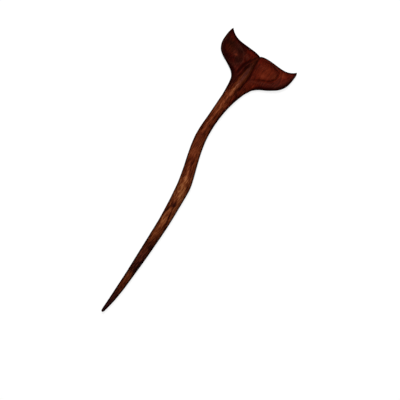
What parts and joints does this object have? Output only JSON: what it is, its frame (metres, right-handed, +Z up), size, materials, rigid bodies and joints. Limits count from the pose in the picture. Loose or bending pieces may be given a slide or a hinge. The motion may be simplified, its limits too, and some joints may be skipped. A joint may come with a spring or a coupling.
{
  "type": "carved wooden hair stick",
  "caption": "One-piece carved hair stick: a tapering round shaft with an S-bend, a fine point at one end and a whale-tail head with a raised stem and hollowed flukes at the other.",
  "frame": {"origin": "under the middle of the stick's bounding box, on the surface that it lies on", "axes": "+X from the point towards the tail, along the line of the head; +Y towards the left fluke, seen from above with the tail ahead; +Z up from the surface that the stick lies on"},
  "size_m": [0.18, 0.0474, 0.0079],
  "materials": {
    "wood": "dark reddish-brown hardwood, hand-carved, sanded smooth and oiled to a soft satin"
  },
  "bodies": {
    "root": {"hair_stick": "wood"}
  },
  "joints": []
}
